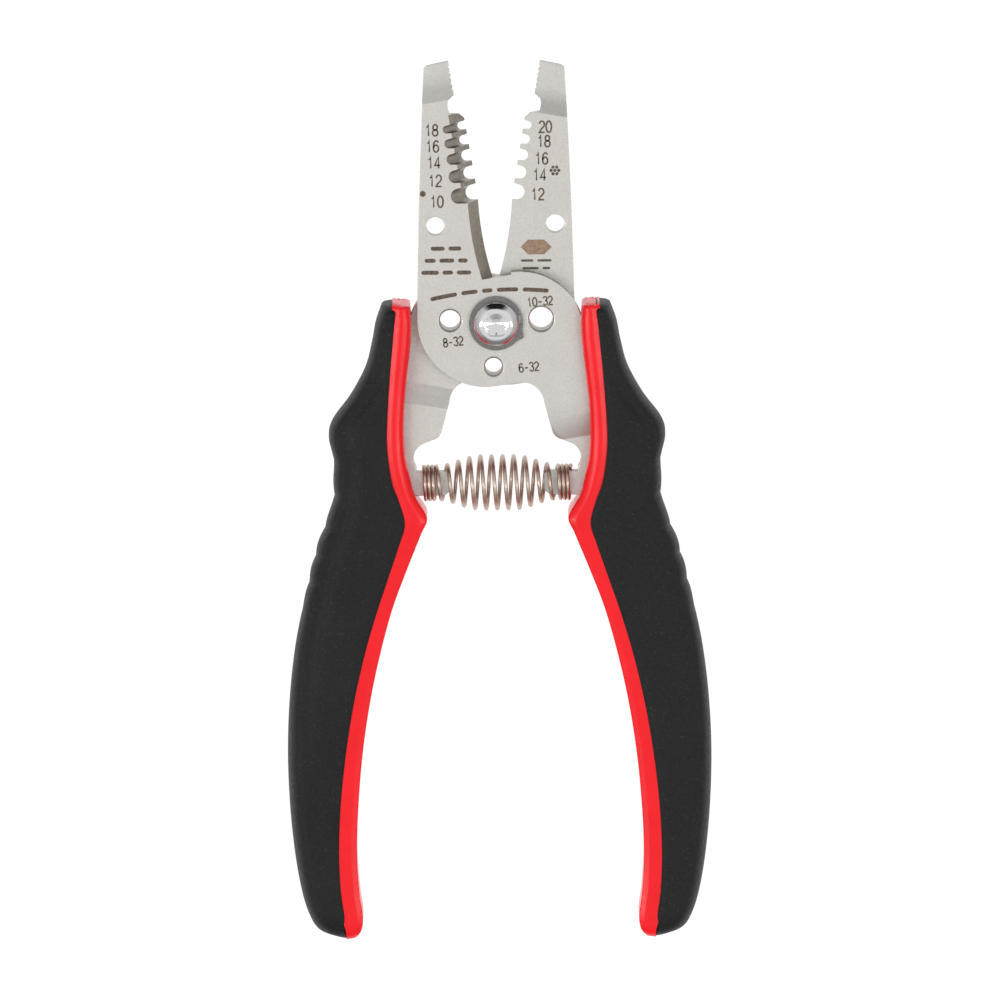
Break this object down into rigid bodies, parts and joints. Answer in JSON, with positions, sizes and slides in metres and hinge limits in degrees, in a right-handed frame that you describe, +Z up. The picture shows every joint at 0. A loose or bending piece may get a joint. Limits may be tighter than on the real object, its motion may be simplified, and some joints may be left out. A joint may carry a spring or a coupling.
{
  "type": "wire stripper",
  "caption": "Scissor-action wire stripper and cutter with stamped steel jaws, a barrel return spring and two-colour moulded handles.",
  "frame": {"origin": "middle of the tool's box on the plane that the grips' backs rest on", "axes": "+Y from the handles to the jaw tips, +Z up off the bench along the pivot bolt towards its head, +X to the right with the jaws pointing away"},
  "size_m": [0.088, 0.1827, 0.015],
  "materials": {
    "blade_steel": "satin",
    "washer_steel": "satin",
    "chrome": "polished",
    "spring_wire": "satin",
    "red_plastic": "glossy",
    "black_rubber": "fine texture"
  },
  "bodies": {
    "rear_lever": {"rear_blade": "blade_steel", "rear_handle_core": "red_plastic", "rear_grip": "black_rubber", "return_spring": "spring_wire"},
    "front_lever": {"front_blade": "blade_steel", "front_handle_core": "red_plastic", "front_grip": "black_rubber", "pivot_bolt": "chrome", "head_washer": "washer_steel", "nut_washer": "washer_steel", "pivot_nut": "washer_steel"}
  },
  "joints": [
    {"name": "pivot", "type": "hinge", "parent": "rear_lever", "child": "front_lever", "pos_m": [0, 0.03712, 0.0075], "axis": [0, 0, -1], "range_deg": [0, 19], "stiffness_Nm_per_rad": 0.8, "springref_deg": -5.73, "deforming": ["return_spring"]}
  ]
}
